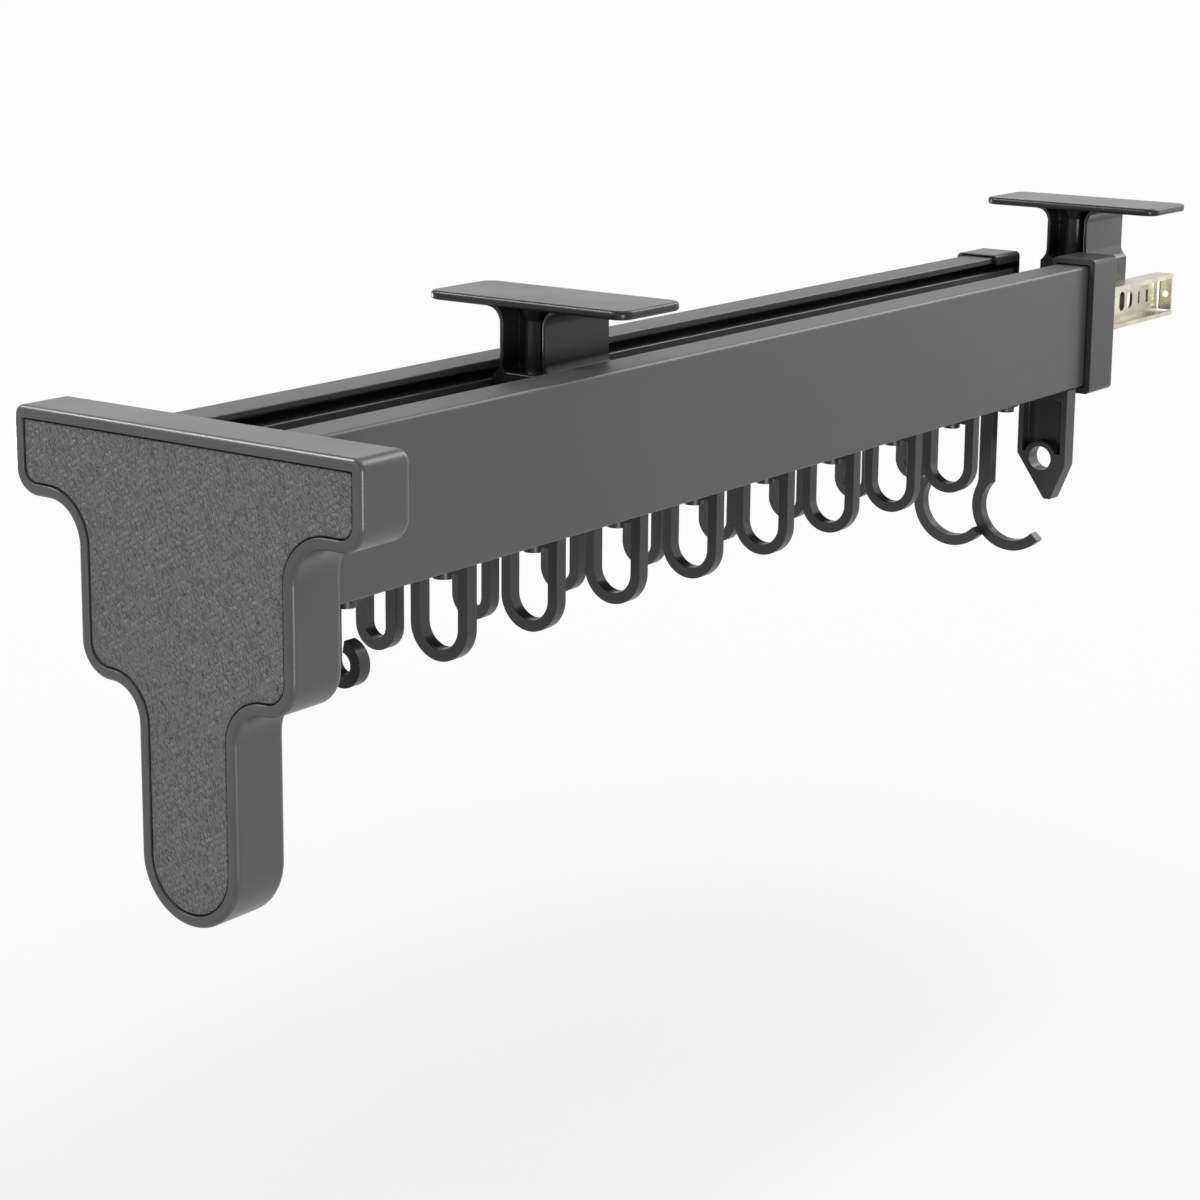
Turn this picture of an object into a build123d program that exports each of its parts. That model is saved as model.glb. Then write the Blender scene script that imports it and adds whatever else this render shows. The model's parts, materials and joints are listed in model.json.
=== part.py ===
from build123d import *
import math
import os

os.makedirs("parts", exist_ok=True)

# Pull-out kitchen hanging rack, millimetres, Z up, the pull front faces -Y.
# The origin is the centre of the top face of the front hanger plate.

# hanger brackets
plate_x = 80.0
plate_y = 33.5
plate_t = 3.0
plate_corner = 5.0
plate_round = 1.1
stem_half = 9.3
stem_inset = 0.5
stem_over = 1.0
stem_wall = 1.3
stem_root = 5.0
bay_round = 2.0
bay_low = 4.0
column_r = 4.5
column_deep = 8.5
foot_half = 12.0
flare_h = 5.0
plate_over_beam = 21.0
foot_bottom_drop = 31.5

# beams
beam_h = 50.0
beam_w = 14.0
rack_half = 29.0
beam_wall = 1.6
beam_top_t = 2.4
shelf_drop = 6.0
shelf_t = 3.0
rib_h = 8.4
beam_front = -150.0
beam_len = 494.6
edge_r = 1.2
lip_r = 0.5

# front
front_t = 21.0
front_half = 66.7
front_over = 2.0
front_corner = 3.5
step1_drop = 24.5
step1_convex_part = 0.33
step1_concave_part = 0.476
mid_half = 41.5
step2_drop = 75.0
step2_convex_part = 0.489
step2_concave_part = 0.471
tongue_half = 19.0
front_drop = 143.0
rim_w = 3.6
rim_round = 1.5
recess_depth = 2.0
insert_t = 1.5
insert_gap = 0.5
back_round = 3.0
block_len = 12.0
screw_r = 1.3

# rear caps
cap_len = 21.0
cap_over = 3.0
far_cap_top = 1.1
cap_in_over = 2.0
cap_gap = 0.5
cap_wall = 2.0
cap_round = 1.2

# slides
rail_h = 18.2
rail_drop = 14.0
rail_t = 1.2
rail_depth = 8.5
rail_lip = 0.7
outer_len = 450.0
outer_front = -22.0
rail_tail = 49.0
inner_len = 450.0
inner_front = -111.0
race_gap = 3.0
ball_d = 2.4
cage_t = 0.8
cage_len = 120.0
cage_front = 97.0
ball_pitch = 10.0
balls_each = 11
ball_side = 1.2
inner_lip_gap = 2.2
tab_x = 7.0
tab_bend = 2.0
flat_head = 0.4
rail_screw_r = 1.2
rail_head_r = 2.5
rail_screw_len = 6.0
rail_screw_side = 6.5
inner_head_t = 1.4
inner_screw_len = 2.6
inner_screw_start = 40.0
inner_screw_end = 20.0

# hooks
hook_row = 12.0
hook_start = 79.0
far_lead = 2.0
far_last_gap = 24.4
large_to_wedge = 25.0
hook_bar = 3.8
hook_y = 4.7
hook_base_t = 5.0
hook_drop = 33.3
near_hook_w = 22.5
far_hook_w = 16.0
near_mouth = 6.0
far_mouth = 12.0
base_half = 4.6
curl_r = 7.4
curl_drop = 31.6
large_r = 17.5
large_bar = 4.2
large_shift = 5.0
large_drop = 64.5
neck_left = 10.0
neck_w = 5.5
large_end_deg = 318.0
neck_blend = 10.0
far_large_back = 6.0
wedge_cap_gap = 10.0
wedge_t = 7.5
wedge_left = 7.0
wedge_side_drop = 31.5
wedge_tip_drop = 46.3
wedge_tip_x = 23.0
wedge_hole_r = 5.0
wedge_rim = 2.2
wedge_bed = 5.0
wedge_head = 4.5
wedge_bed_drop = 27.0
wedge_screw_len = 4.0
head_r = 3.4
head_h = 2.2
shank_r = 1.4
tie_t = 2.0
tie_half = 24.0
fit = 0.3

# levels and places that follow from the sizes above
beam_top = -plate_over_beam
beam_bot = beam_top - beam_h
slot_half = rack_half - beam_w
beam_rear = beam_front + beam_len
front_y = beam_front - front_t
cap_rear = beam_rear + cap_wall
cap_front = cap_rear - cap_len
hanger_pitch = outer_front + outer_len - rail_tail
stem_ahead = plate_y / 2 - stem_inset
stem_back = plate_y / 2 + stem_over
neck_z = beam_top + 1.0
flare_out = foot_half - stem_half
flare_r = (flare_out * flare_out + flare_h * flare_h) / (2 * flare_out)
step1_w = front_half - mid_half
step2_w = mid_half - tongue_half
rail_top = beam_top - rail_drop
rail_mid = rail_top - rail_h / 2
web_x = foot_half
inner_top = rail_h / 2 - rail_t - race_gap
inner_x1 = web_x + rail_depth + 0.5
rib_x = inner_x1
front_screw_z = [beam_top - 0.28 * beam_h, beam_top - 0.76 * beam_h]
wedge_y = cap_front - wedge_cap_gap
hook_first = beam_front + hook_start
hook_pitch = (wedge_y - large_to_wedge - hook_first) / 8


def at_y(y):
    """plane facing -Y, standing at a given Y"""
    return Plane.XZ.offset(-y)


def quarter(p, q, c):
    """middle point of the quarter arc from p to q round c"""
    r = math.hypot(p[0] - c[0], p[1] - c[1])
    mx = (p[0] + q[0]) / 2 - c[0]
    my = (p[1] + q[1]) / 2 - c[1]
    m = math.hypot(mx, my)
    return (c[0] + mx / m * r, c[1] + my / m * r)


def front_outline(d):
    """half outline of the stepped front, drawn d inside its edge"""
    top = beam_top + front_over - d
    x1 = front_half - d
    x2 = mid_half - d
    x3 = tongue_half - d
    z1 = beam_top - step1_drop + d
    z2 = beam_top - step2_drop + d
    zb = beam_top - front_drop + d
    rc = front_corner - min(d, front_corner - 0.5)
    r1 = step1_convex_part * step1_w - d
    r1v = step1_concave_part * step1_w + d
    r2 = step2_convex_part * step2_w - d
    r2v = step2_concave_part * step2_w + d
    arcs = [
        ((x1 - rc, top), (x1, top - rc), (x1 - rc, top - rc)),
        ((x1, z1 + r1), (x1 - r1, z1), (x1 - r1, z1 + r1)),
        ((x2 + r1v, z1), (x2, z1 - r1v), (x2 + r1v, z1 - r1v)),
        ((x2, z2 + r2), (x2 - r2, z2), (x2 - r2, z2 + r2)),
        ((x3 + r2v, z2), (x3, z2 - r2v), (x3 + r2v, z2 - r2v)),
        ((x3, zb + x3), (0, zb), (0, zb + x3)),
    ]
    last = (0, top)
    for p, q, c in arcs:
        if math.hypot(p[0] - last[0], p[1] - last[1]) > 0.001:
            Line(last, p)
        ThreePointArc(p, quarter(p, q, c), q)
        last = q


# front frame, with a shallow bed for the insert
with BuildPart() as fascia_frame:
    with BuildSketch(at_y(beam_front)):
        with BuildLine():
            front_outline(0.0)
            mirror(about=Plane.YZ)
        make_face()
    extrude(amount=front_t)
    front_rim = fascia_frame.faces().sort_by(Axis.Y)[0].edges()
    fillet(front_rim, radius=rim_round)
    back_rim = fascia_frame.faces().sort_by(Axis.Y)[-1].edges()
    fillet(back_rim, radius=back_round)
    with BuildSketch(at_y(front_y + recess_depth)):
        with BuildLine():
            front_outline(rim_w)
            mirror(about=Plane.YZ)
        make_face()
    extrude(amount=recess_depth + 1, mode=Mode.SUBTRACT)
    # blind holes for the screws that come through the tie block
    with Locations([(0, beam_front, z) for z in front_screw_z]):
        Cylinder(screw_r + fit, 24, rotation=(90, 0, 0), mode=Mode.SUBTRACT)
fascia_frame.part.label = "fascia_frame"
export_step(fascia_frame.part, "parts/fascia_frame.step")

# grained insert lying in the bed of the front
with BuildPart() as fascia_insert:
    with BuildSketch(at_y(front_y + recess_depth)):
        with BuildLine():
            front_outline(rim_w + insert_gap)
            mirror(about=Plane.YZ)
        make_face()
    extrude(amount=insert_t)
fascia_insert.part.label = "fascia_insert"
export_step(fascia_insert.part, "parts/fascia_insert.step")


def beam_section(side):
    """E shaped section of one beam, open to the slot, side is 1 or -1"""
    xo = side * rack_half
    xi = side * slot_half
    xw = side * (rack_half - beam_wall)
    xr = side * rib_x
    mid = rail_mid
    pts = [
        (xi, beam_top),
        (xo, beam_top),
        (xo, beam_bot),
        (xi, beam_bot),
        (xi, beam_bot + beam_top_t),
        (xw, beam_bot + beam_top_t),
        (xw, mid - rib_h / 2),
        (xr, mid - rib_h / 2),
        (xr, mid + rib_h / 2),
        (xw, mid + rib_h / 2),
        (xw, beam_top - shelf_drop - shelf_t),
        (xi, beam_top - shelf_drop - shelf_t),
        (xi, beam_top - shelf_drop),
        (xw, beam_top - shelf_drop),
        (xw, beam_top - beam_top_t),
        (xi, beam_top - beam_top_t),
    ]
    return pts


inner_screw_pitch = (inner_len - inner_screw_start - inner_screw_end) / 3
inner_screw_y = [inner_front + inner_screw_start + inner_screw_pitch * i for i in range(4)]
with BuildPart() as near_beam:
    with BuildSketch(at_y(beam_rear)):
        with BuildLine():
            Polyline(beam_section(1), close=True)
        make_face()
    extrude(amount=beam_len)
    near_long = near_beam.edges().filter_by(Axis.Y)
    fillet(near_long.group_by(Axis.X)[-1], radius=edge_r)
    near_lips = near_beam.edges().filter_by(Axis.Y).group_by(Axis.X)[0]
    fillet(near_lips, radius=lip_r)
    with Locations([(rib_x, y, rail_mid) for y in inner_screw_y]):
        Cylinder(rail_screw_r + 0.1, 2 * inner_screw_len + 0.8, rotation=(0, 90, 0), mode=Mode.SUBTRACT)
near_beam.part.label = "near_beam"
export_step(near_beam.part, "parts/near_beam.step")

with BuildPart() as far_beam:
    with BuildSketch(at_y(beam_rear)):
        with BuildLine():
            Polyline(beam_section(-1), close=True)
        make_face()
    extrude(amount=beam_len)
    far_long = far_beam.edges().filter_by(Axis.Y)
    fillet(far_long.group_by(Axis.X)[0], radius=edge_r)
    far_lips = far_beam.edges().filter_by(Axis.Y).group_by(Axis.X)[-1]
    fillet(far_lips, radius=lip_r)
    with Locations([(-rib_x, y, rail_mid) for y in inner_screw_y]):
        Cylinder(rail_screw_r + 0.1, 2 * inner_screw_len + 0.8, rotation=(0, 90, 0), mode=Mode.SUBTRACT)
far_beam.part.label = "far_beam"
export_step(far_beam.part, "parts/far_beam.step")

# tie block between the beams behind the front
with BuildPart() as front_block:
    with Locations((0, beam_front, beam_top - shelf_drop - 1)):
        Box(
            2 * slot_half,
            block_len,
            beam_h - shelf_drop - 1 - beam_top_t - tie_t,
            align=(Align.CENTER, Align.MIN, Align.MAX),
        )
    with Locations([(0, beam_front, z) for z in front_screw_z]):
        Cylinder(screw_r + fit, 4 * block_len, rotation=(90, 0, 0), mode=Mode.SUBTRACT)
front_block.part.label = "front_block"
export_step(front_block.part, "parts/front_block.step")

# screws through the tie block into the front, heads on the block
with BuildPart() as front_screws:
    for z in front_screw_z:
        with Locations((0, beam_front + block_len, z)):
            Cylinder(2.6, 1.8, rotation=(-90, 0, 0), align=(Align.CENTER, Align.CENTER, Align.MIN))
            Cylinder(
                screw_r,
                block_len + 9.0,
                rotation=(90, 0, 0),
                align=(Align.CENTER, Align.CENTER, Align.MIN),
            )
front_screws.part.label = "front_screws"
export_step(front_screws.part, "parts/front_screws.step")

# bottom tie, lying on the lower flanges of both beams and filling the slot
tie_y0 = beam_front + 0.2
tie_y1 = cap_front - 1.0
hook_ys = [hook_first + hook_pitch * i for i in range(-1, 9)]
near_ys = hook_ys[1:-1]
far_large_y = hook_ys[-1] - far_large_back
far_first = hook_first - far_lead
far_pitch = (far_large_y - far_last_gap - far_first) / 7
far_ys = [far_first + far_pitch * i for i in range(8)]
far_hook_ys = far_ys + [far_large_y]
with BuildPart() as bottom_tie:
    with BuildSketch(at_y(tie_y1)):
        with Locations((0, beam_bot + beam_top_t)):
            Rectangle(2 * tie_half, tie_t, align=(Align.CENTER, Align.MIN))
        with Locations((0, beam_bot)):
            Rectangle(2 * slot_half, beam_top_t, align=(Align.CENTER, Align.MIN))
    extrude(amount=tie_y1 - tie_y0)
    near_spots = [(hook_row, y, beam_bot) for y in hook_ys]
    far_spots = [(-hook_row, y, beam_bot) for y in far_hook_ys]
    wedge_spot = [(hook_row, wedge_y, beam_bot)]
    with Locations(near_spots + far_spots + wedge_spot):
        Cylinder(shank_r + 0.1, 4 * (beam_top_t + tie_t), mode=Mode.SUBTRACT)
bottom_tie.part.label = "bottom_tie"
export_step(bottom_tie.part, "parts/bottom_tie.step")


def cap_body(side, top_over):
    """sleeve cap over one beam end, open where the rail runs out"""
    x_in = slot_half - cap_in_over
    x_out = rack_half + cap_over
    z_hi = beam_top + top_over
    z_lo = beam_bot - cap_over
    with BuildSketch(at_y(cap_rear)) as sk:
        with Locations((side * (x_in + x_out) / 2, (z_hi + z_lo) / 2)):
            RectangleRounded(x_out - x_in, z_hi - z_lo, 2.0)
    extrude(sk.sketch, amount=cap_len)


def cap_cuts(side):
    """room for the beam end, the open slot side, then the window for the rail"""
    with Locations((side * (rack_half + slot_half) / 2, cap_rear - cap_wall, (beam_top + beam_bot) / 2)):
        Box(
            beam_w + 2 * cap_gap,
            2 * cap_len,
            beam_h + 2 * cap_gap,
            align=(Align.CENTER, Align.MAX, Align.CENTER),
            mode=Mode.SUBTRACT,
        )
    open_z = beam_h - 2 * beam_top_t - 2 * lip_r
    with Locations((side * slot_half, cap_rear - cap_wall, (beam_top + beam_bot) / 2)):
        Box(
            4 * cap_in_over,
            2 * cap_len,
            open_z,
            align=(Align.CENTER, Align.MAX, Align.CENTER),
            mode=Mode.SUBTRACT,
        )
    win_x = slot_half - cap_in_over - 1
    with Locations((side * (win_x + inner_x1 + 1.5) / 2, cap_rear, rail_mid)):
        Box(inner_x1 + 1.5 - win_x, 3 * cap_len, rail_h + 5, mode=Mode.SUBTRACT)


with BuildPart() as near_rear_cap:
    cap_body(1, cap_over)
    fillet(near_rear_cap.faces().sort_by(Axis.Y)[-1].edges(), radius=cap_round)
    cap_cuts(1)
near_rear_cap.part.label = "near_rear_cap"
export_step(near_rear_cap.part, "parts/near_rear_cap.step")

with BuildPart() as far_rear_cap:
    cap_body(-1, far_cap_top)
    fillet(far_rear_cap.faces().sort_by(Axis.Y)[-1].edges(), radius=cap_round)
    cap_cuts(-1)
far_rear_cap.part.label = "far_rear_cap"
export_step(far_rear_cap.part, "parts/far_rear_cap.step")


def hanger_plate(y0):
    """flat top plate of one hanger bracket"""
    with BuildSketch(Plane.XY.offset(-plate_t)) as sk:
        with Locations((0, y0)):
            RectangleRounded(plate_x, plate_y, plate_corner)
    extrude(sk.sketch, amount=plate_t)


def hanger_stem(y0):
    """T shaped stem with a foot that stands in the slot at y0"""
    z_foot = beam_top - foot_bottom_drop
    z_under = -plate_t
    r = stem_root
    s = stem_half
    m = math.sqrt(0.5)
    # the flare is an arc that leaves the stem without a corner
    a = math.asin(min(1.0, flare_h / flare_r)) / 2
    xf = s + flare_r - flare_r * math.cos(a)
    zf = neck_z - flare_r * math.sin(a)
    z_low = neck_z - flare_h
    with BuildSketch(at_y(y0 + stem_back)) as sk:
        with BuildLine():
            Line((-s - r, z_under), (s + r, z_under))
            ThreePointArc((s + r, z_under), (s + r - r * m, z_under - r + r * m), (s, z_under - r))
            Line((s, z_under - r), (s, neck_z))
            ThreePointArc((s, neck_z), (xf, zf), (foot_half, z_low))
            Line((foot_half, z_low), (foot_half, z_foot))
            Line((foot_half, z_foot), (-foot_half, z_foot))
            Line((-foot_half, z_foot), (-foot_half, z_low))
            ThreePointArc((-foot_half, z_low), (-xf, zf), (-s, neck_z))
            Line((-s, neck_z), (-s, z_under - r))
            ThreePointArc((-s, z_under - r), (-s - r + r * m, z_under - r + r * m), (-s - r, z_under))
        make_face()
    extrude(sk.sketch, amount=stem_ahead + stem_back)


def bay_outline():
    """outline of one bay, a wall thickness inside the outline of the stem"""
    x_in = stem_half - stem_wall
    z_top = -plate_t
    z_root = z_top - stem_root
    # arc round the centre of the root arc
    r = stem_root + stem_wall
    rise = math.sqrt(r * r - stem_root * stem_root)
    xc = stem_half + stem_root
    a = (math.atan2(stem_root, -rise) + math.pi) / 2
    root_mid = (xc + r * math.cos(a), z_root + r * math.sin(a))
    # arc round the centre of the flare
    rf = flare_r + stem_wall
    xf = stem_half + flare_r
    b = math.asin(bay_low / rf)
    flare_mid = (xf - rf * math.cos(b / 2), neck_z - rf * math.sin(b / 2))
    flare_end = (xf - rf * math.cos(b), neck_z - bay_low)
    Line((0, z_top), (xc - rise, z_top))
    ThreePointArc((xc - rise, z_top), root_mid, (x_in, z_root))
    Line((x_in, z_root), (x_in, neck_z))
    ThreePointArc((x_in, neck_z), flare_mid, flare_end)
    Line(flare_end, (0, neck_z - bay_low))


def hanger_bays(y0):
    """thin walled bays front and back, each with a column, and the rail screw holes"""
    bay_lo = neck_z - bay_low
    for y_start in (y0 - stem_ahead + column_deep, y0 + stem_back + 1.0):
        with BuildSketch(at_y(y_start)) as sk:
            with BuildLine():
                bay_outline()
                mirror(about=Plane.YZ)
            make_face()
            fillet(sk.vertices().group_by(Axis.Y)[0], radius=bay_round)
        extrude(sk.sketch, amount=column_deep + 1.0, mode=Mode.SUBTRACT)
    for y_col in (y0 - stem_ahead + column_deep, y0 + stem_back - column_deep):
        with Locations((0, y_col, bay_lo - 0.5)):
            Cylinder(column_r, -plate_t - bay_lo + 1.0, align=(Align.CENTER, Align.CENTER, Align.MIN))
        with Locations((0, y_col, -plate_t + 0.5)):
            Cone(column_r, 1.5 * column_r, column_r, align=(Align.CENTER, Align.CENTER, Align.MAX))
    with Locations([(0, y0 - rail_screw_side, rail_mid), (0, y0 + rail_screw_side, rail_mid)]):
        Cylinder(rail_screw_r + 0.1, 3 * foot_half, rotation=(0, 90, 0), mode=Mode.SUBTRACT)


with BuildPart() as front_hanger:
    hanger_plate(0.0)
    fillet(front_hanger.faces().sort_by(Axis.Z)[0].edges(), radius=plate_round)
    fillet(front_hanger.faces().sort_by(Axis.Z)[-1].edges(), radius=plate_round)
    hanger_stem(0.0)
    hanger_bays(0.0)
front_hanger.part.label = "front_hanger"
export_step(front_hanger.part, "parts/front_hanger.step")

with BuildPart() as rear_hanger:
    hanger_plate(hanger_pitch)
    fillet(rear_hanger.faces().sort_by(Axis.Z)[0].edges(), radius=plate_round)
    fillet(rear_hanger.faces().sort_by(Axis.Z)[-1].edges(), radius=plate_round)
    hanger_stem(hanger_pitch)
    hanger_bays(hanger_pitch)
rear_hanger.part.label = "rear_hanger"
export_step(rear_hanger.part, "parts/rear_hanger.step")

outer_rear = outer_front + outer_len
rail_screw_y = [-rail_screw_side, rail_screw_side]
rail_screw_y += [hanger_pitch - rail_screw_side, hanger_pitch + rail_screw_side]
# ovals in the web, each as Y, width along Y, height
web_slots = [
    (hanger_pitch + 0.267 * rail_tail, 5.0, 0.46 * rail_h),
    (hanger_pitch + 0.423 * rail_tail, 5.0, 0.42 * rail_h),
    (hanger_pitch + 0.608 * rail_tail, 1.6, 0.33 * rail_h),
    (hanger_pitch + 0.773 * rail_tail, 2.6, 0.36 * rail_h),
]
web_slots += [(hanger_pitch * k / 6, 5.0, 0.44 * rail_h) for k in range(1, 6)]


def outer_rail(side):
    """fixed channel, web against the feet, flanges toward its beam"""
    x0 = web_x
    x1 = web_x + rail_depth
    h = rail_h / 2
    t = rail_t
    lip = rail_lip
    pts = [
        (side * x0, rail_mid + h),
        (side * x1, rail_mid + h),
        (side * x1, rail_mid + h - t - lip),
        (side * (x1 - t), rail_mid + h - t - lip),
        (side * (x1 - t), rail_mid + h - t),
        (side * (x0 + t), rail_mid + h - t),
        (side * (x0 + t), rail_mid - h + t),
        (side * (x1 - t), rail_mid - h + t),
        (side * (x1 - t), rail_mid - h + t + lip),
        (side * x1, rail_mid - h + t + lip),
        (side * x1, rail_mid - h),
        (side * x0, rail_mid - h),
    ]
    with BuildSketch(at_y(outer_rear)) as sk:
        with BuildLine():
            Polyline(pts, close=True)
        make_face()
    extrude(sk.sketch, amount=outer_len)


def outer_rail_details(side):
    """bent end tab, ovals and screw holes of the fixed channel"""
    tab_h = rail_h - 2 * rail_t - 2.0
    xm = side * (web_x + rail_t + tab_x / 2 - 0.1)
    with Locations((xm, outer_rear, rail_mid)):
        Box(
            tab_x + 0.2,
            rail_t,
            tab_h,
            align=(Align.CENTER, Align.MAX, Align.CENTER),
        )
    xb = side * (web_x + rail_t + tab_bend / 2 - 0.1)
    with Locations((xb, outer_rear - rail_t + 0.1, rail_mid)):
        Box(
            tab_bend + 0.2,
            tab_bend + 0.1,
            tab_h,
            align=(Align.CENTER, Align.MAX, Align.CENTER),
        )
    with Locations((side * (web_x + rail_t + tab_bend), outer_rear - rail_t - tab_bend, rail_mid)):
        Cylinder(tab_bend, tab_h, mode=Mode.SUBTRACT)
    with Locations((side * (web_x + rail_t + tab_x * 0.6), outer_rear, rail_mid)):
        Cylinder(0.08 * rail_h, 4 * rail_t, rotation=(90, 0, 0), mode=Mode.SUBTRACT)
    for y, w, hh in web_slots:
        with BuildSketch(Plane.YZ.offset(0)) as sk:
            with Locations((y, rail_mid)):
                SlotOverall(hh, w, rotation=90)
        extrude(sk.sketch, amount=side * (web_x + 3 * rail_t), mode=Mode.SUBTRACT)
    with Locations([(side * web_x, y, rail_mid) for y in rail_screw_y]):
        Cylinder(rail_screw_r + 0.4, 4 * rail_t, rotation=(0, 90, 0), mode=Mode.SUBTRACT)


with BuildPart() as near_outer_rail:
    outer_rail(1)
    outer_rail_details(1)
near_outer_rail.part.label = "near_outer_rail"
export_step(near_outer_rail.part, "parts/near_outer_rail.step")

with BuildPart() as far_outer_rail:
    outer_rail(-1)
    outer_rail_details(-1)
far_outer_rail.part.label = "far_outer_rail"
export_step(far_outer_rail.part, "parts/far_outer_rail.step")

# flat head screws that hold both fixed channels to the feet
with BuildPart() as rail_screws:
    for side in (-1, 1):
        for y in rail_screw_y:
            with Locations((side * (web_x + rail_t), y, rail_mid)):
                Cylinder(
                    rail_head_r,
                    flat_head,
                    rotation=(0, side * 90, 0),
                    align=(Align.CENTER, Align.CENTER, Align.MIN),
                )
                Cylinder(
                    rail_screw_r,
                    rail_t + rail_screw_len,
                    rotation=(0, side * -90, 0),
                    align=(Align.CENTER, Align.CENTER, Align.MIN),
                )
rail_screws.part.label = "rail_screws"
export_step(rail_screws.part, "parts/rail_screws.step")


def inner_rail(side):
    """moving channel on the beam rib, flanges toward the slot"""
    x0 = inner_x1
    x1 = web_x + rail_t + inner_lip_gap
    h = inner_top
    t = rail_t
    pts = [
        (side * x0, rail_mid + h),
        (side * x1, rail_mid + h),
        (side * x1, rail_mid + h - t),
        (side * (x0 - t), rail_mid + h - t),
        (side * (x0 - t), rail_mid - h + t),
        (side * x1, rail_mid - h + t),
        (side * x1, rail_mid - h),
        (side * x0, rail_mid - h),
    ]
    with BuildSketch(at_y(inner_front + inner_len)) as sk:
        with BuildLine():
            Polyline(pts, close=True)
        make_face()
    extrude(sk.sketch, amount=inner_len)
    with Locations([(side * inner_x1, y, rail_mid) for y in inner_screw_y]):
        Cylinder(rail_screw_r + 0.4, 4 * rail_t, rotation=(0, 90, 0), mode=Mode.SUBTRACT)


with BuildPart() as near_inner_rail:
    inner_rail(1)
near_inner_rail.part.label = "near_inner_rail"
export_step(near_inner_rail.part, "parts/near_inner_rail.step")

with BuildPart() as far_inner_rail:
    inner_rail(-1)
far_inner_rail.part.label = "far_inner_rail"
export_step(far_inner_rail.part, "parts/far_inner_rail.step")

# screws that hold the moving channels to the ribs of the beams
with BuildPart() as inner_rail_screws:
    for side in (-1, 1):
        for y in inner_screw_y:
            with Locations((side * (inner_x1 - rail_t), y, rail_mid)):
                Cylinder(
                    rail_head_r,
                    inner_head_t,
                    rotation=(0, side * -90, 0),
                    align=(Align.CENTER, Align.CENTER, Align.MIN),
                )
                Cylinder(
                    rail_screw_r,
                    rail_t + inner_screw_len,
                    rotation=(0, side * 90, 0),
                    align=(Align.CENTER, Align.CENTER, Align.MIN),
                )
inner_rail_screws.part.label = "inner_rail_screws"
export_step(inner_rail_screws.part, "parts/inner_rail_screws.step")

# ball cages run between the two channels at half the travel
ball_x = (web_x + rail_t + inner_lip_gap + inner_x1) / 2 - ball_side
ball_z = inner_top + race_gap / 2
cage_x0 = web_x + rail_t + 0.9
cage_x1 = ball_x + 0.79 * ball_d
cage_h = ball_z + cage_t / 2
ball_ys = [cage_front + ball_pitch * (i + 1) for i in range(balls_each)]


def ball_cage(side):
    """thin channel with round pockets for the balls"""
    t = cage_t
    pts = [
        (side * cage_x0, rail_mid + cage_h),
        (side * cage_x1, rail_mid + cage_h),
        (side * cage_x1, rail_mid + cage_h - t),
        (side * (cage_x0 + 0.6), rail_mid + cage_h - t),
        (side * (cage_x0 + 0.6), rail_mid - cage_h + t),
        (side * cage_x1, rail_mid - cage_h + t),
        (side * cage_x1, rail_mid - cage_h),
        (side * cage_x0, rail_mid - cage_h),
    ]
    with BuildSketch(at_y(cage_front + cage_len)) as sk:
        with BuildLine():
            Polyline(pts, close=True)
        make_face()
    extrude(sk.sketch, amount=cage_len)
    with Locations([(side * ball_x, y, rail_mid) for y in ball_ys]):
        Cylinder(ball_d / 2 + 0.05, 3 * rail_h, mode=Mode.SUBTRACT)


with BuildPart() as near_ball_cage:
    ball_cage(1)
near_ball_cage.part.label = "near_ball_cage"
export_step(near_ball_cage.part, "parts/near_ball_cage.step")

with BuildPart() as far_ball_cage:
    ball_cage(-1)
far_ball_cage.part.label = "far_ball_cage"
export_step(far_ball_cage.part, "parts/far_ball_cage.step")

# balls, two rows in each cage
with BuildPart() as near_balls:
    for dz in (-ball_z, ball_z):
        with Locations([(ball_x, y, rail_mid + dz) for y in ball_ys]):
            Sphere(ball_d / 2)
near_balls.part.label = "near_balls"
export_step(near_balls.part, "parts/near_balls.step")

with BuildPart() as far_balls:
    for dz in (-ball_z, ball_z):
        with Locations([(-ball_x, y, rail_mid + dz) for y in ball_ys]):
            Sphere(ball_d / 2)
far_balls.part.label = "far_balls"
export_step(far_balls.part, "parts/far_balls.step")


def u_hook(xc, yc, width, mouth):
    """U hook with a base bar, its short leg on the far side of the row"""
    r = width / 2
    ri = r - hook_bar
    top = beam_bot
    bar = beam_bot - hook_base_t
    zc = beam_bot - hook_drop + r
    tip = beam_bot - mouth
    with BuildSketch(at_y(yc + hook_y / 2)) as sk:
        with Locations((xc, zc)):
            Rectangle(width, top - zc, align=(Align.CENTER, Align.MIN))
            Circle(r)
        with Locations((xc, zc)):
            Rectangle(2 * ri, bar - zc, align=(Align.CENTER, Align.MIN), mode=Mode.SUBTRACT)
            Circle(ri, mode=Mode.SUBTRACT)
        with Locations((xc - min(base_half, ri), tip)):
            Rectangle(width, top - tip + 1, align=(Align.MAX, Align.MIN), mode=Mode.SUBTRACT)
    extrude(sk.sketch, amount=hook_y)


def hook_hole(xc, yc):
    """hole for the screw through the base bar"""
    with Locations((xc, yc, beam_bot)):
        Cylinder(shank_r + 0.1, 3 * hook_base_t, mode=Mode.SUBTRACT)


for i, y in enumerate(near_ys):
    with BuildPart() as near_hook:
        u_hook(hook_row, y, near_hook_w, near_mouth)
        hook_hole(hook_row, y)
    near_hook.part.label = f"near_hook_{i + 1}"
    export_step(near_hook.part, f"parts/near_hook_{i + 1}.step")

for i, y in enumerate(far_ys):
    with BuildPart() as far_hook:
        u_hook(-hook_row, y, far_hook_w, far_mouth)
        hook_hole(-hook_row, y)
    far_hook.part.label = f"far_hook_{i + 1}"
    export_step(far_hook.part, f"parts/far_hook_{i + 1}.step")


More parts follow.
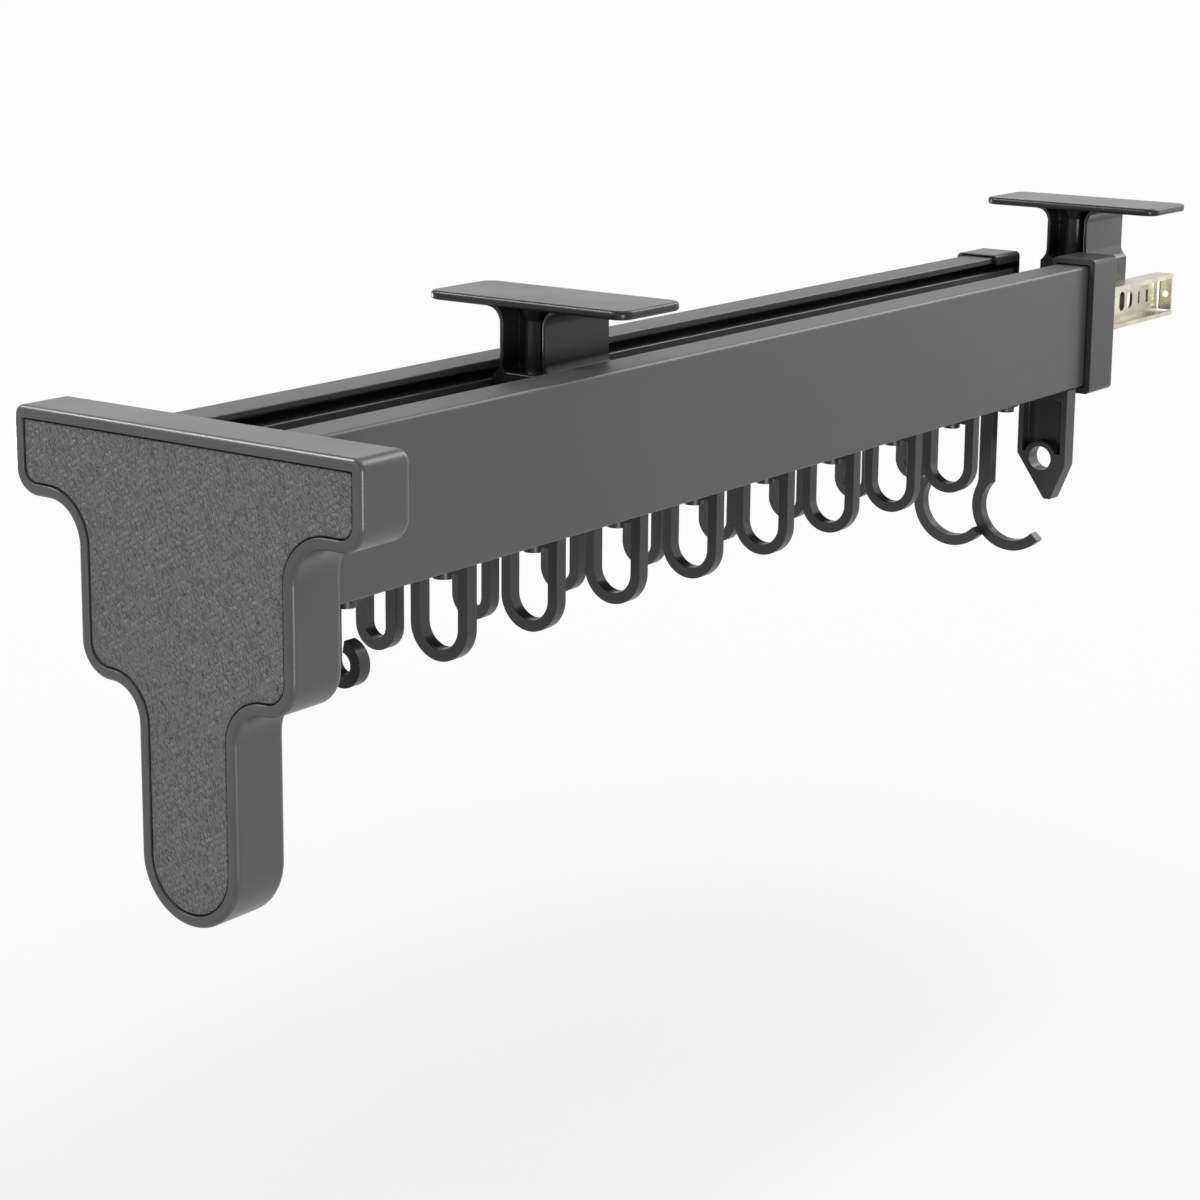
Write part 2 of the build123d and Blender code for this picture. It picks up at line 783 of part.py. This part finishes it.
def disc_part(xc, zc, r, a0, a1):
    """disc sector round xc, zc from angle a0 to a1 in degrees"""
    n = 3
    pts = [(xc, zc)]
    for j in range(n * 4 + 1):
        a = math.radians(a0 + (a1 - a0) * j / (n * 4))
        pts.append((xc + 1.6 * r * math.cos(a), zc + 1.6 * r * math.sin(a)))
    with Locations((xc, zc)):
        Circle(r)
    Polygon(*pts, align=None, mode=Mode.INTERSECT)


# front hook, a small open curl
curl_y = hook_ys[0]
curl_zc = beam_bot - curl_drop + curl_r
with BuildPart() as curl_hook:
    with BuildSketch(at_y(curl_y + hook_y / 2)):
        disc_part(hook_row, curl_zc, curl_r, 180.0, 440.0)
        with Locations((hook_row - curl_r, curl_zc)):
            Rectangle(hook_bar, beam_bot - curl_zc, align=(Align.MIN, Align.MIN))
        with Locations((hook_row - curl_r, beam_bot)):
            Rectangle(curl_r + base_half, hook_base_t, align=(Align.MIN, Align.MAX))
        with Locations((hook_row, curl_zc)):
            Circle(curl_r - hook_bar, mode=Mode.SUBTRACT)
    extrude(amount=hook_y)
    hook_hole(hook_row, curl_y)
curl_hook.part.label = "curl_hook"
export_step(curl_hook.part, "parts/curl_hook.step")

large_y = hook_ys[-1]
large_zc = beam_bot - large_drop + large_r


def large_hook(xc, yc):
    """large round hook on a straight neck that runs smoothly into the ring"""
    xr = xc + large_shift
    xl = xc - neck_left
    neck_z = large_zc + 0.2 * large_r
    # the blend circle touches the left side of the neck and the ring
    xb = xl - neck_blend
    reach = large_r + neck_blend
    zb = large_zc + math.sqrt(reach * reach - (xb - xr) ** 2)
    xt = xr + (xb - xr) * large_r / reach
    zt = large_zc + (zb - large_zc) * large_r / reach
    with BuildSketch(at_y(yc + hook_y / 2)) as sk:
        disc_part(xr, large_zc, large_r, 148.0, large_end_deg)
        with Locations((xl, neck_z)):
            Rectangle(neck_w, beam_bot - neck_z, align=(Align.MIN, Align.MIN))
        with Locations((xl, beam_bot)):
            Rectangle(neck_left + base_half, hook_base_t, align=(Align.MIN, Align.MAX))
        with Locations((xt, zt)):
            Rectangle(xl - xt + 1.0, zb - zt, align=(Align.MIN, Align.MIN))
        with Locations((xb, zb)):
            Circle(neck_blend, mode=Mode.SUBTRACT)
        with Locations((xr, large_zc)):
            Circle(large_r - large_bar, mode=Mode.SUBTRACT)
    extrude(sk.sketch, amount=hook_y)
    hook_hole(xc, yc)


with BuildPart() as near_large_hook:
    large_hook(hook_row, large_y)
near_large_hook.part.label = "near_large_hook"
export_step(near_large_hook.part, "parts/near_large_hook.step")

with BuildPart() as far_large_hook:
    large_hook(-hook_row, far_large_y)
far_large_hook.part.label = "far_large_hook"
export_step(far_large_hook.part, "parts/far_large_hook.step")

# wedge shaped hook under the near beam by the rear cap
wedge_pts = [
    (wedge_left, beam_bot),
    (rack_half, beam_bot),
    (rack_half, beam_bot - wedge_side_drop),
    (wedge_tip_x, beam_bot - wedge_tip_drop),
    (wedge_tip_x - 3.0, beam_bot - wedge_tip_drop),
    (wedge_left, beam_bot - wedge_side_drop + 3.5),
]
wedge_hole_x = (wedge_left + rack_half) / 2 - 0.5
wedge_hole_z = beam_bot - wedge_side_drop + 2.0
wedge_front = wedge_y - wedge_t / 2
with BuildPart() as wedge_hook:
    with BuildSketch(at_y(wedge_y + wedge_t / 2)):
        with BuildLine():
            Polyline(wedge_pts, close=True)
        make_face()
        with Locations((wedge_hole_x, wedge_hole_z)):
            Circle(wedge_hole_r, mode=Mode.SUBTRACT)
    extrude(amount=wedge_t)
    # shallow bed in the front face, with a rim beside it and a boss round the eye
    with BuildSketch(at_y(wedge_front + wedge_bed)):
        with Locations((wedge_left + wedge_rim, beam_bot - wedge_bed_drop)):
            Rectangle(
                rack_half - wedge_left - 2 * wedge_rim,
                wedge_bed_drop - wedge_head,
                align=(Align.MIN, Align.MIN),
            )
        with Locations((wedge_hole_x, wedge_hole_z)):
            Circle(wedge_hole_r + wedge_rim, mode=Mode.SUBTRACT)
    extrude(amount=wedge_bed + 1.0, mode=Mode.SUBTRACT)
    with Locations((hook_row, wedge_y, beam_bot)):
        Cylinder(shank_r + 0.1, 2 * wedge_screw_len + 0.4, mode=Mode.SUBTRACT)
wedge_hook.part.label = "wedge_hook"
export_step(wedge_hook.part, "parts/wedge_hook.step")

# hook screws, round heads under the base bars
screw_spots = [(hook_row, y) for y in hook_ys]
screw_spots += [(-hook_row, y) for y in far_hook_ys]
with BuildPart() as hook_screws:
    for x, y in screw_spots:
        with Locations((x, y, beam_bot - hook_base_t)):
            Cylinder(head_r, head_h, align=(Align.CENTER, Align.CENTER, Align.MAX))
            Cylinder(
                shank_r,
                hook_base_t + beam_top_t + tie_t,
                align=(Align.CENTER, Align.CENTER, Align.MIN),
            )
hook_screws.part.label = "hook_screws"
export_step(hook_screws.part, "parts/hook_screws.step")

# screw from above into the wedge shaped hook
with BuildPart() as wedge_screw:
    with Locations((hook_row, wedge_y, beam_bot + beam_top_t + tie_t)):
        Cylinder(2.6, 1.8, align=(Align.CENTER, Align.CENTER, Align.MIN))
        Cylinder(
            shank_r,
            beam_top_t + tie_t + wedge_screw_len,
            align=(Align.CENTER, Align.CENTER, Align.MAX),
        )
wedge_screw.part.label = "wedge_screw"
export_step(wedge_screw.part, "parts/wedge_screw.step")
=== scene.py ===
"""Looks of a pull-out kitchen hanging rack under its two T brackets.

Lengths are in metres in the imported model's frame: the origin is the middle of the front
bracket's top face, +Z is up and the pull front faces -Y. The solids come from the frame.
This script gives each of them its finish, rolls the sharp edges of the mouldings over, and
sets the floor, the light and the camera.
"""

import json
import math

import bpy
import numpy as np
from mathutils import Euler, Matrix, Vector

MM = 0.001

# camera, from a fit of the rack's edges to the photograph
photo_px = 1200
focal_px = 2778.1
sensor_mm = 36.0
camera_place = (0.5369, -0.7099, 0.1254)
camera_yaw = 36.1
camera_pitch = 12.23
camera_roll = 0.5
# how far the lens axis passes above the middle of the picture
axis_rise_px = 100
nearest_view = 0.01

# floor and room, with levels of light where 1 is white
floor_z = -0.31
floor_half = 30.0
floor_shade = "#ececec"
floor_glow = 0.36
room_light = 0.44
# the ceiling darkens between these two heights of the direction in which it is seen
ceiling_starts = 0.3
ceiling_full = 0.75
ceiling_level = 0.4

# lamps: a wide light from above, and soft boxes with place, width and height, and watts
rack_middle = (0.0, 0.1, -0.08)
ceiling_light_from = (0.25, 0.35, 1.0)
ceiling_light_spread = 60.0
ceiling_light_strength = 1.0
soft_boxes = {
    "rear_box": ((0.32, 1.15, 0.72), (0.7, 0.7), 9.0),
    "right_box": ((0.75, 1.8, 0.12), (0.7, 0.7), 1.9),
    "front_box": ((-0.5, -1.9, 0.5), (1.2, 1.2), 4.0),
    "edge_box": ((0.97, -0.61, -0.17), (0.3, 0.24), 6.0),
    "left_box": ((-1.1, 0.03, -0.17), (0.3, 0.24), 5.0),
    "crown_box": ((-0.69, -0.47, 0.75), (0.4, 0.4), 10.5),
}

# radii that moulding and casting leave on otherwise sharp edges
hook_edge_mm = 0.5
bracket_edge_mm = 0.6
insert_edge_mm = 0.4
moulding_edge_mm = 0.45

# how the edges are found and rolled over, with angles in degrees
join_mm = 0.002
flat_angle = 0.5
edge_angle = 38.0
edge_steps = 3
edge_samples = 6
even_weight = 100

# the span in which most values of a noise lie
noise_low = 0.3
noise_high = 0.7
noise_span = {"From Min": noise_low, "From Max": noise_high}

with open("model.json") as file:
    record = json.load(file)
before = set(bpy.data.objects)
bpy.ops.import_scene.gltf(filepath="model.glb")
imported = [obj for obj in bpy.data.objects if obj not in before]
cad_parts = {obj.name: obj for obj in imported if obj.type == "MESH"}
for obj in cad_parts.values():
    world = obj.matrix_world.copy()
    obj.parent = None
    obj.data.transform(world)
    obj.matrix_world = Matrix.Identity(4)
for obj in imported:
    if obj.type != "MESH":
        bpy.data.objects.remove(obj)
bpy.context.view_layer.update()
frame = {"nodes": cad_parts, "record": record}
nodes = frame["nodes"]
scene = bpy.context.scene
scene.view_settings.view_transform = "Standard"


def linear(hex_text):
    """sRGB hex to linear colour: c / 12.92 when small, otherwise ((c + 0.055) / 1.055) ** 2.4."""
    s = np.array([int(hex_text[i : i + 2], 16) for i in (1, 3, 5)]) / 255.0
    rgb = np.where(s <= 0.04045, s / 12.92, ((s + 0.055) / 1.055) ** 2.4)
    return (*rgb.tolist(), 1.0)


def add(tree, kind, settings=None, links=None, stops=()):
    """Adds one node: settings for sockets or properties, links into sockets, stops of a ramp."""
    node = tree.nodes.new(kind)
    for name, value in (settings or {}).items():
        if isinstance(name, int) or name in node.inputs:
            node.inputs[name].default_value = value
        else:
            setattr(node, name, value)
    for name, source in (links or {}).items():
        tree.links.new(source, node.inputs[name])
    for i, (position, hex_text) in enumerate(stops):
        node.color_ramp.elements[i].position = position
        node.color_ramp.elements[i].color = linear(hex_text)
    return node


def start(name):
    """A new material and its empty tree."""
    material = bpy.data.materials.new(name)
    material.use_nodes = True
    tree = material.node_tree
    tree.nodes.clear()
    return material, tree


def satin(name, dark, light, rough, grit_mm, grit_depth_mm, specular=0.5, edge_mm=None):
    """A coated or moulded surface: slow clouds of shade and gloss over a fine grit.

    Real grit is near 0.1 mm and wouldn't show, so it is drawn coarser. Where edge_mm is
    given, the shading rounds the sharp edges by that radius.
    """
    cloud_mm = 35.0
    gloss_sway = 0.03
    material, tree = start(name)
    place = add(tree, "ShaderNodeTexCoord").outputs["Object"]
    cloud_settings = {"Scale": 1 / (cloud_mm * MM), "Detail": 3.0}
    cloud = add(tree, "ShaderNodeTexNoise", cloud_settings, {"Vector": place}).outputs["Fac"]
    stops = [(noise_low, dark), (noise_high, light)]
    colour = add(tree, "ShaderNodeValToRGB", links={"Fac": cloud}, stops=stops).outputs["Color"]
    gloss_settings = {**noise_span, "To Min": rough - gloss_sway, "To Max": rough + gloss_sway}
    gloss = add(tree, "ShaderNodeMapRange", gloss_settings, {"Value": cloud}).outputs["Result"]
    grit_settings = {"Scale": 1 / (grit_mm * MM), "Detail": 2.0}
    grit = add(tree, "ShaderNodeTexNoise", grit_settings, {"Vector": place}).outputs["Fac"]
    bump_links = {"Height": grit}
    if edge_mm:
        eased_settings = {"samples": edge_samples, "Radius": edge_mm * MM}
        bump_links["Normal"] = add(tree, "ShaderNodeBevel", eased_settings).outputs["Normal"]
    bump_settings = {"Strength": 1.0, "Distance": grit_depth_mm * MM}
    bump = add(tree, "ShaderNodeBump", bump_settings, bump_links).outputs["Normal"]
    settings = {"Metallic": 0.0, "Specular IOR Level": specular}
    links = {"Base Color": colour, "Roughness": gloss, "Normal": bump}
    shader = add(tree, "ShaderNodeBsdfPrincipled", settings, links)
    add(tree, "ShaderNodeOutputMaterial", links={"Surface": shader.outputs["BSDF"]})
    return material


def extruded_graphite():
    """Anodised extruded aluminium: satin grey with faint die lines that run along the beam.

    The dyed oxide hides the metal, so the shader isn't a metal. Real lines and grit are near
    0.1 mm, and are drawn coarser so that they show.
    """
    line_mm, line_run_mm, line_depth_mm = 0.8, 160.0, 0.001
    grit_mm, grit_depth_mm = 0.45, 0.006
    cloud_mm = 60.0
    smooth, dull = 0.41, 0.45
    material, tree = start("anodised_aluminium_graphite_satin")
    place = add(tree, "ShaderNodeTexCoord").outputs["Object"]
    across, down = 1 / (line_mm * MM), 1 / (line_run_mm * MM)
    along_settings = {"Scale": (across, down, across)}
    along = add(tree, "ShaderNodeMapping", along_settings, {"Vector": place}).outputs["Vector"]
    line_settings = {"Scale": 1.0, "Detail": 2.0}
    lines = add(tree, "ShaderNodeTexNoise", line_settings, {"Vector": along}).outputs["Fac"]
    grit_settings = {"Scale": 1 / (grit_mm * MM), "Detail": 1.0}
    grit = add(tree, "ShaderNodeTexNoise", grit_settings, {"Vector": place}).outputs["Fac"]
    cloud_settings = {"Scale": 1 / (cloud_mm * MM), "Detail": 2.0}
    cloud = add(tree, "ShaderNodeTexNoise", cloud_settings, {"Vector": place}).outputs["Fac"]
    stops = [(noise_low, "#3d3d3e"), (noise_high, "#414142")]
    colour = add(tree, "ShaderNodeValToRGB", links={"Fac": cloud}, stops=stops).outputs["Color"]
    gloss_settings = {**noise_span, "To Min": smooth, "To Max": dull}
    gloss = add(tree, "ShaderNodeMapRange", gloss_settings, {"Value": lines}).outputs["Result"]
    lined_settings = {"Strength": 1.0, "Distance": line_depth_mm * MM}
    lined = add(tree, "ShaderNodeBump", lined_settings, {"Height": lines}).outputs["Normal"]
    bump_settings = {"Strength": 1.0, "Distance": grit_depth_mm * MM}
    bump_links = {"Height": grit, "Normal": lined}
    bump = add(tree, "ShaderNodeBump", bump_settings, bump_links).outputs["Normal"]
    links = {"Base Color": colour, "Roughness": gloss, "Normal": bump}
    shader = add(tree, "ShaderNodeBsdfPrincipled", {"Metallic": 0.0}, links)
    add(tree, "ShaderNodeOutputMaterial", links={"Surface": shader.outputs["BSDF"]})
    return material


def grained_foil():
    """Embossed vinyl foil: leaning wavy pebbles of leather grain, with painted shade in the creases
    between them.
    """
    pebble_mm, pebble_run_mm, grain_depth_mm = 0.52, 1.7, 0.9
    wave_mm, sway_mm = 2.5, 0.7
    lean = 30.0
    crease_shade_width = 0.16
    smooth, dull = 0.47, 0.55
    material, tree = start("embossed_vinyl_leather_grain")
    place = add(tree, "ShaderNodeTexCoord").outputs["Object"]
    wave_settings = {"Scale": 1 / (wave_mm * MM), "Detail": 0.0}
    wave = add(tree, "ShaderNodeTexNoise", wave_settings, {"Vector": place}).outputs["Color"]
    sway_settings = {"operation": "MULTIPLY_ADD", 1: (sway_mm * MM,) * 3}
    sway = add(tree, "ShaderNodeVectorMath", sway_settings, {0: wave, 2: place}).outputs["Vector"]
    # lays the upright face flat, then leans the grain
    turn_settings = {"Rotation": (math.radians(90), 0, math.radians(lean))}
    turned = add(tree, "ShaderNodeMapping", turn_settings, {"Vector": sway}).outputs["Vector"]
    grain_settings = {"Scale": (1 / (pebble_mm * MM), 1 / (pebble_run_mm * MM), 1.0)}
    grain = add(tree, "ShaderNodeMapping", grain_settings, {"Vector": turned}).outputs["Vector"]
    swell_settings = {"noise_dimensions": "2D", "Scale": 1.0, "Detail": 0.0}
    swell = add(tree, "ShaderNodeTexNoise", swell_settings, {"Vector": grain}).outputs["Fac"]
    # the creases run where the swell passes its middle value
    middle_settings = {"operation": "SUBTRACT", 1: 0.5}
    from_middle = add(tree, "ShaderNodeMath", middle_settings, {0: swell}).outputs["Value"]
    rise_settings = {"operation": "ABSOLUTE"}
    rise = add(tree, "ShaderNodeMath", rise_settings, {0: from_middle}).outputs["Value"]
    # painted shade and light: the creases are coloured near black and the pebbles' crowns pale,
    # standing in for the shading of the relief, which the bump also gives
    stops = [(0.0, "#1f1e1f"), (crease_shade_width, "#6d6c6d")]
    colour = add(tree, "ShaderNodeValToRGB", links={"Fac": rise}, stops=stops).outputs["Color"]
    gloss_settings = {**noise_span, "To Min": smooth, "To Max": dull}
    gloss = add(tree, "ShaderNodeMapRange", gloss_settings, {"Value": swell}).outputs["Result"]
    bump_settings = {"Strength": 1.0, "Distance": grain_depth_mm * MM}
    bump = add(tree, "ShaderNodeBump", bump_settings, {"Height": rise}).outputs["Normal"]
    links = {"Base Color": colour, "Roughness": gloss, "Normal": bump}
    shader = add(tree, "ShaderNodeBsdfPrincipled", {"Metallic": 0.0}, links)
    add(tree, "ShaderNodeOutputMaterial", links={"Surface": shader.outputs["BSDF"]})
    return material


def plated_steel(name, dark, light, rough):
    """Plated steel strip: bright metal in cloudy patches of two shades, with fine rolling lines.

    Real rolling lines are near 0.05 mm, and are drawn coarser so that they show.
    """
    patch_mm, patch_low, patch_high = 9.0, 0.35, 0.65
    line_mm, line_run_mm, line_depth_mm = 0.5, 40.0, 0.004
    gloss_sway = 0.05
    material, tree = start(name)
    place = add(tree, "ShaderNodeTexCoord").outputs["Object"]
    patch_settings = {"Scale": 1 / (patch_mm * MM), "Detail": 3.0}
    patch = add(tree, "ShaderNodeTexNoise", patch_settings, {"Vector": place}).outputs["Fac"]
    stops = [(patch_low, dark), (patch_high, light)]
    colour = add(tree, "ShaderNodeValToRGB", links={"Fac": patch}, stops=stops).outputs["Color"]
    across, down = 1 / (line_mm * MM), 1 / (line_run_mm * MM)
    along_settings = {"Scale": (across, down, across)}
    along = add(tree, "ShaderNodeMapping", along_settings, {"Vector": place}).outputs["Vector"]
    line_settings = {"Scale": 1.0, "Detail": 1.0}
    lines = add(tree, "ShaderNodeTexNoise", line_settings, {"Vector": along}).outputs["Fac"]
    gloss_settings = {**noise_span, "To Min": rough - gloss_sway, "To Max": rough + gloss_sway}
    gloss = add(tree, "ShaderNodeMapRange", gloss_settings, {"Value": lines}).outputs["Result"]
    bump_settings = {"Strength": 1.0, "Distance": line_depth_mm * MM}
    bump = add(tree, "ShaderNodeBump", bump_settings, {"Height": lines}).outputs["Normal"]
    links = {"Base Color": colour, "Roughness": gloss, "Normal": bump}
    shader = add(tree, "ShaderNodeBsdfPrincipled", {"Metallic": 1.0}, links)
    add(tree, "ShaderNodeOutputMaterial", links={"Surface": shader.outputs["BSDF"]})
    return material


def polished_balls():
    """Polished bearing steel: bright, almost mirror smooth, with slight smears of grease."""
    smear_mm = 1.5
    clean, greasy = 0.06, 0.16
    material, tree = start("bearing_steel_polished")
    place = add(tree, "ShaderNodeTexCoord").outputs["Object"]
    smear_settings = {"Scale": 1 / (smear_mm * MM), "Detail": 2.0}
    smear = add(tree, "ShaderNodeTexNoise", smear_settings, {"Vector": place}).outputs["Fac"]
    stops = [(noise_low, "#c8c8c8"), (noise_high, "#dadada")]
    colour = add(tree, "ShaderNodeValToRGB", links={"Fac": smear}, stops=stops).outputs["Color"]
    gloss_settings = {**noise_span, "To Min": clean, "To Max": greasy}
    gloss = add(tree, "ShaderNodeMapRange", gloss_settings, {"Value": smear}).outputs["Result"]
    links = {"Base Color": colour, "Roughness": gloss}
    shader = add(tree, "ShaderNodeBsdfPrincipled", {"Metallic": 1.0}, links)
    add(tree, "ShaderNodeOutputMaterial", links={"Surface": shader.outputs["BSDF"]})
    return material


def soften(node_name, radius_mm):
    """Joins the node's loose triangles into whole faces, then rolls its sharp edges over."""
    node = nodes[node_name]
    node.data.shade_smooth()
    weld = node.modifiers.new("join", "WELD")
    weld.merge_threshold = join_mm * MM
    flat = node.modifiers.new("flat", "DECIMATE")
    flat.decimate_type = "DISSOLVE"
    flat.angle_limit = math.radians(flat_angle)
    bevel = node.modifiers.new("edge", "BEVEL")
    bevel.limit_method = "ANGLE"
    bevel.angle_limit = math.radians(edge_angle)
    bevel.width = radius_mm * MM
    bevel.segments = edge_steps
    even = node.modifiers.new("shading", "WEIGHTED_NORMAL")
    even.weight = even_weight


def seen_rays(tree):
    """One for the eye, for gloss and through glass, and nothing for the rays that only light."""
    path = add(tree, "ShaderNodeLightPath").outputs
    links = {0: path["Is Camera Ray"], 1: path["Is Glossy Ray"]}
    eye = add(tree, "ShaderNodeMath", {"operation": "ADD"}, links).outputs["Value"]
    settings = {"operation": "ADD", "use_clamp": True}
    links = {0: eye, 1: path["Is Transmission Ray"]}
    return add(tree, "ShaderNodeMath", settings, links).outputs["Value"]


def stage_floor():
    """A flat pale floor: diffuse for light and shadow, with some white of its own for seen rays."""
    corners = [(-1, -1), (1, -1), (1, 1), (-1, 1)]
    points = [(x * floor_half, y * floor_half, floor_z) for x, y in corners]
    mesh = bpy.data.meshes.new("floor")
    mesh.from_pydata(points, [], [(0, 1, 2, 3)])
    floor = bpy.data.objects.new("floor", mesh)
    scene.collection.objects.link(floor)
    material, tree = start("floor_matt_white")
    matt = add(tree, "ShaderNodeBsdfDiffuse", {"Color": linear(floor_shade)})
    glow_settings = {"operation": "MULTIPLY", 1: floor_glow}
    glow = add(tree, "ShaderNodeMath", glow_settings, {0: seen_rays(tree)}).outputs["Value"]
    white = add(tree, "ShaderNodeEmission", {"Color": linear("#ffffff")}, {"Strength": glow})
    both = add(tree, "ShaderNodeAddShader", links={0: matt.outputs[0], 1: white.outputs[0]})
    add(tree, "ShaderNodeOutputMaterial", links={"Surface": both.outputs["Shader"]})
    mesh.materials.append(material)


def stage_room():
    """White walls under a darker ceiling for seen rays, and a softer even light for all the rest."""
    world = bpy.data.worlds.new("room")
    world.use_nodes = True
    tree = world.node_tree
    tree.nodes.clear()
    toward = add(tree, "ShaderNodeTexCoord").outputs["Generated"]
    height = add(tree, "ShaderNodeSeparateXYZ", links={"Vector": toward}).outputs["Z"]
    ceiling_settings = {
        "From Min": ceiling_starts,
        "From Max": ceiling_full,
        "To Min": 1.0,
        "To Max": ceiling_level,
    }
    ceiling_links = {"Value": height}
    ceiling = add(tree, "ShaderNodeMapRange", ceiling_settings, ceiling_links).outputs["Result"]
    level_links = {"Value": seen_rays(tree), "To Max": ceiling}
    level = add(tree, "ShaderNodeMapRange", {"To Min": room_light}, level_links).outputs["Result"]
    light_settings = {"Color": linear("#ffffff")}
    light = add(tree, "ShaderNodeBackground", light_settings, {"Strength": level})
    add(tree, "ShaderNodeOutputWorld", links={"Surface": light.outputs["Background"]})
    scene.world = world


def ceiling_light():
    """An even light from one side of the ceiling, so wide that its shadows are soft."""
    lamp = bpy.data.lights.new("ceiling_light", "SUN")
    lamp.angle = math.radians(ceiling_light_spread)
    lamp.energy = ceiling_light_strength
    holder = bpy.data.objects.new("ceiling_light", lamp)
    scene.collection.objects.link(holder)
    holder.rotation_euler = Vector(ceiling_light_from).to_track_quat("Z", "Y").to_euler()


def soft_box(name, place, size, watts, receivers):
    """A soft box of a width and height that faces the rack and lights the receivers alone."""
    lamp = bpy.data.lights.new(name, "AREA")
    lamp.shape = "RECTANGLE"
    lamp.size, lamp.size_y = size
    lamp.energy = watts
    holder = bpy.data.objects.new(name, lamp)
    scene.collection.objects.link(holder)
    holder.location = place
    facing = Vector(rack_middle) - Vector(place)
    holder.rotation_euler = facing.to_track_quat("-Z", "Y").to_euler()
    holder.light_linking.receiver_collection = receivers


def photo_camera():
    """A camera at the photograph's place, turned by yaw, then pitch, then a slight roll."""
    camera = bpy.data.cameras.new("photo_camera")
    camera.sensor_width = sensor_mm
    camera.lens = focal_px / photo_px * sensor_mm
    camera.shift_y = -axis_rise_px / photo_px
    camera.clip_start = nearest_view
    holder = bpy.data.objects.new("photo_camera", camera)
    scene.collection.objects.link(holder)
    turn = Euler((math.radians(90 - camera_pitch), 0, math.radians(camera_yaw))).to_matrix()
    turn = turn @ Matrix.Rotation(math.radians(camera_roll), 3, "Z")
    holder.matrix_world = Matrix.Translation(camera_place) @ turn.to_4x4()
    scene.camera = holder


# finishes, one for each slot of the record
finishes = {
    # an even satin grey with a soft sheen
    "beam_finish": extruded_graphite(),
    # injection moulded, with a fine spark eroded texture: a soft sheen and light on the edges
    "moulding": satin(
        "moulded_abs_graphite_fine_texture",
        "#3f3f40",
        "#444445",
        rough=0.32,
        grit_mm=0.5,
        grit_depth_mm=0.005,
        edge_mm=moulding_edge_mm,
    ),
    # a dull grey with a grain that catches the light from above, and painted shade in its creases
    "grained_insert": grained_foil(),
    # sprayed and baked on a casting, with a little orange peel: dark, with a clear sheen
    "bracket_paint": satin(
        "powder_coat_graphite_satin",
        "#1b1b1c",
        "#1f1f20",
        rough=0.27,
        grit_mm=0.9,
        grit_depth_mm=0.004,
        specular=0.27,
        edge_mm=bracket_edge_mm,
    ),
    # anodised like the beams, without die lines: plain dull grey
    "inner_tie": satin(
        "anodised_aluminium_inner",
        "#3c3c3d",
        "#414142",
        rough=0.45,
        grit_mm=0.5,
        grit_depth_mm=0.008,
    ),
    # bright with a faint yellow cast
    "rail_zinc": plated_steel("zinc_plated_steel_bright", "#b4ae9c", "#c8c4b6", rough=0.32),
    # golden, as yellow passivation leaves it
    "cage_steel": plated_steel("yellow_passivated_steel_strip", "#9a8458", "#b39f74", rough=0.34),
    "ball_steel": polished_balls(),
    # the oxide hides the metal: nearly black and dull
    "screw_black": satin(
        "black_oxide_steel",
        "#242425",
        "#2c2c2d",
        rough=0.38,
        grit_mm=0.4,
        grit_depth_mm=0.006,
    ),
    # a little brighter than the rails
    "screw_zinc": plated_steel("zinc_plated_screw", "#bdb7a4", "#d2cec2", rough=0.30),
    # injection moulded, satin from the mould: nearly black with light on the round edges
    "hook_plastic": satin(
        "moulded_nylon_dark_satin",
        "#222223",
        "#262627",
        rough=0.33,
        grit_mm=0.6,
        grit_depth_mm=0.005,
        specular=0.42,
    ),
}
for piece in frame["record"]["subparts"]:
    mesh = nodes[piece["node"]].data
    mesh.materials.clear()
    mesh.materials.append(finishes[piece["material_slot"]])

# the caps on the rear ends get a darker copy of the front's moulding
rear_caps = ("near_rear_cap", "far_rear_cap")
dark_moulding = satin(
    "moulded_abs_dark_fine_texture",
    "#2a2a2b",
    "#2e2e2f",
    rough=0.32,
    grit_mm=0.5,
    grit_depth_mm=0.005,
    specular=0.36,
    edge_mm=moulding_edge_mm,
)
for name in rear_caps:
    nodes[name].data.materials[0] = dark_moulding

for name in nodes:
    if "hook" in name and "screw" not in name:
        soften(name, hook_edge_mm)
soften("fascia_insert", insert_edge_mm)
soften("fascia_frame", moulding_edge_mm)
# flat shading for flat faces where the finish alone eases the edges
for name in ("front_hanger", "rear_hanger", *rear_caps):
    nodes[name].modifiers.new("shading", "WEIGHTED_NORMAL")

# the soft boxes light the rack and leave the floor even
lit_rack = bpy.data.collections.new("lit_rack")
for node in nodes.values():
    lit_rack.objects.link(node)
stage_floor()
stage_room()
ceiling_light()
for name, (place, size, watts) in soft_boxes.items():
    soft_box(name, place, size, watts, lit_rack)
photo_camera()
